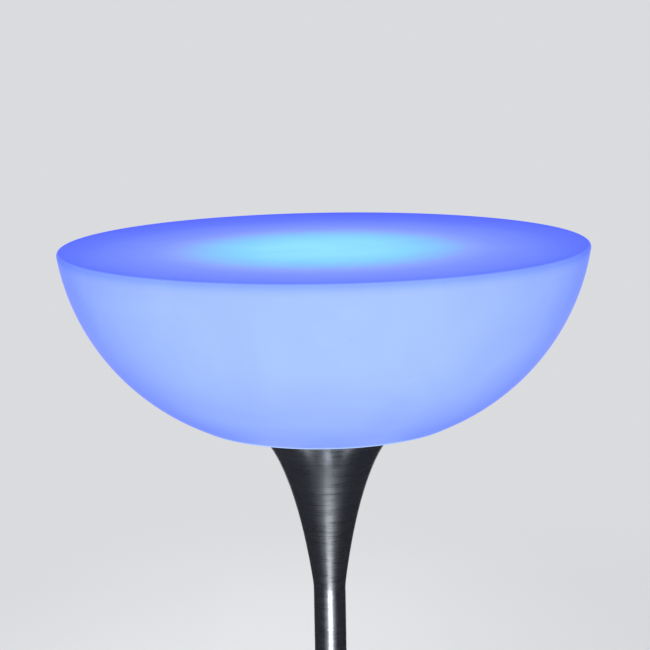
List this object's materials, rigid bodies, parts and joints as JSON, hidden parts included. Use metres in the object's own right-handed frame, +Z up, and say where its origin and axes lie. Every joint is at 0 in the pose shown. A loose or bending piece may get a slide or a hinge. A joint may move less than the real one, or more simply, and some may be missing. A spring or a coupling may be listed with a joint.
{
  "type": "light-up bar table",
  "caption": "Hollow light-up bowl table with a flat top on a brushed steel trumpet stem and weighted foot, with a push button and a charging socket under the bowl.",
  "frame": {"origin": "centre of the foot on the floor, at the bottom centre of the bounding box", "axes": "+Z up along the stem's axis; the control panel faces down on the +Y side"},
  "size_m": [0.7, 0.7, 1.061],
  "materials": {
    "lit_shell": "satin translucent polyethylene, lit from inside",
    "lamp_dome": "frosted polycarbonate, lit",
    "brushed_steel": "brushed round the axis",
    "zinc_steel": "bright zinc",
    "spring_steel": "drawn wire",
    "cast_iron": "painted casting",
    "brass": "turned",
    "white_plastic": "moulded",
    "panel_plastic": "fine moulded grain",
    "button_plastic": "satin",
    "eye_plastic": "smoked red",
    "status_plastic": "clear green",
    "rubber": "matte",
    "silicone": "matte",
    "board_green": "lacquered board",
    "board_metal": "metal-backed board",
    "battery_wrap": "shrink wrap",
    "lead_jacket": "matte"
  },
  "bodies": {
    "table": {"top_shell": "lit_shell", "thread_insert_1": "brass", "thread_insert_2": "brass", "thread_insert_3": "brass", "thread_insert_4": "brass", "plate_bolt_1": "zinc_steel", "plate_bolt_2": "zinc_steel", "plate_bolt_3": "zinc_steel", "plate_bolt_4": "zinc_steel", "top_plate": "zinc_steel", "trumpet_seal": "rubber", "upper_trumpet": "brushed_steel", "upper_spigot": "zinc_steel", "stem_tube": "brushed_steel", "lower_spigot": "zinc_steel", "base_trumpet": "brushed_steel", "ballast_disc": "cast_iron", "floor_ring": "rubber", "tie_rod": "zinc_steel", "tie_rod_top_nut": "zinc_steel", "tie_rod_nut": "zinc_steel", "tie_rod_washer": "zinc_steel", "light_housing": "white_plastic", "housing_gasket": "rubber", "housing_cover": "white_plastic", "housing_screw_1": "zinc_steel", "housing_screw_2": "zinc_steel", "housing_screw_3": "zinc_steel", "housing_screw_4": "zinc_steel", "led_board": "board_metal", "light_dome": "lamp_dome", "battery_pack": "battery_wrap", "control_board": "board_green", "lead_grommet": "rubber", "panel_lead": "lead_jacket", "control_panel": "panel_plastic", "panel_gasket": "rubber", "panel_screw_1": "zinc_steel", "panel_screw_2": "zinc_steel", "panel_screw_3": "zinc_steel", "panel_screw_4": "zinc_steel", "panel_board": "board_green", "board_screw_1": "zinc_steel", "board_screw_2": "zinc_steel", "button_spring": "spring_steel", "power_switch": "panel_plastic", "charge_socket": "panel_plastic", "charge_pin": "zinc_steel", "cover_anchor": "silicone", "remote_eye": "eye_plastic", "remote_receiver": "panel_plastic", "status_lens": "status_plastic", "status_lamp": "status_plastic"},
    "button": {"power_button": "button_plastic"},
    "cover": {"socket_cover": "silicone"}
  },
  "joints": [
    {"name": "power_button_press", "type": "slide", "parent": "table", "child": "button", "axis": [0, 0, 1], "range_m": [0, 0.0015], "stiffness_N_per_m": 300, "springref_m": -0.0015, "deforming": ["button_spring"]},
    {"name": "socket_cover_hinge", "type": "hinge", "parent": "table", "child": "cover", "pos_m": [0.016, 0.1376, 0.8184], "axis": [-1, 0, 0], "range_deg": [0, 110]}
  ]
}
